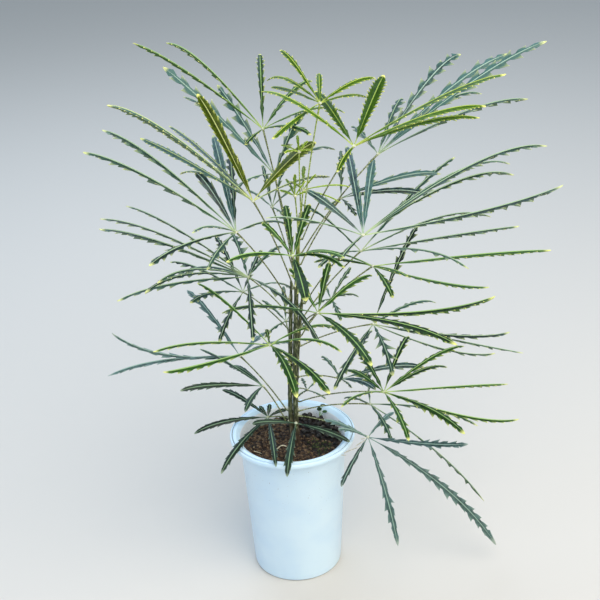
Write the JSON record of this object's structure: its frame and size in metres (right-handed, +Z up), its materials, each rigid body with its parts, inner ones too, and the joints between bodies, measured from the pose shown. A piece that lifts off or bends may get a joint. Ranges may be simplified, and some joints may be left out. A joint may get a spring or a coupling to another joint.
{
  "type": "potted false aralia",
  "caption": "Potted false aralia: slender upright stems and palmate leaves with long, narrow, toothed leaflets, in a tall tapered white plastic pot filled with soil.",
  "frame": {"origin": "middle of the pot's flat underside", "axes": "+Z up along the pot's axis, +X to the right and -Y to the front as seen from the plant's broad side"},
  "size_m": [0.523, 0.3738, 0.639],
  "materials": {
    "white_plastic": "satin",
    "potting_mix": "matte",
    "green_bark": "matte",
    "leaf_dark": "satin",
    "leaf_mid": "satin",
    "leaf_olive": "satin",
    "leaf_young": "satin"
  },
  "bodies": {
    "root": {"pot": "white_plastic", "soil": "potting_mix", "seedling": "leaf_mid", "stem_main": "green_bark", "stem_left": "green_bark", "stem_back": "green_bark", "leaf_01": "leaf_mid", "leaf_02": "leaf_young", "leaf_03": "leaf_young", "leaf_04": "leaf_young", "leaf_05": "leaf_dark", "leaf_06": "leaf_dark", "leaf_07": "leaf_olive", "leaf_08": "leaf_dark", "leaf_09": "leaf_young", "leaf_10": "leaf_young", "leaf_11": "leaf_dark", "leaf_12": "leaf_dark", "leaf_13": "leaf_dark", "leaf_14": "leaf_dark", "leaf_15": "leaf_mid", "leaf_16": "leaf_mid", "leaf_17": "leaf_dark", "leaf_18": "leaf_dark", "leaf_19": "leaf_dark", "leaf_20": "leaf_mid", "leaf_21": "leaf_dark", "leaf_22": "leaf_mid", "leaf_23": "leaf_dark", "leaf_24": "leaf_dark", "leaf_25": "leaf_dark", "leaf_26": "leaf_mid", "leaf_27": "leaf_dark", "leaf_28": "leaf_dark", "leaf_29": "leaf_dark", "leaf_30": "leaf_dark", "leaf_31": "leaf_dark", "leaf_32": "leaf_dark"}
  },
  "joints": []
}
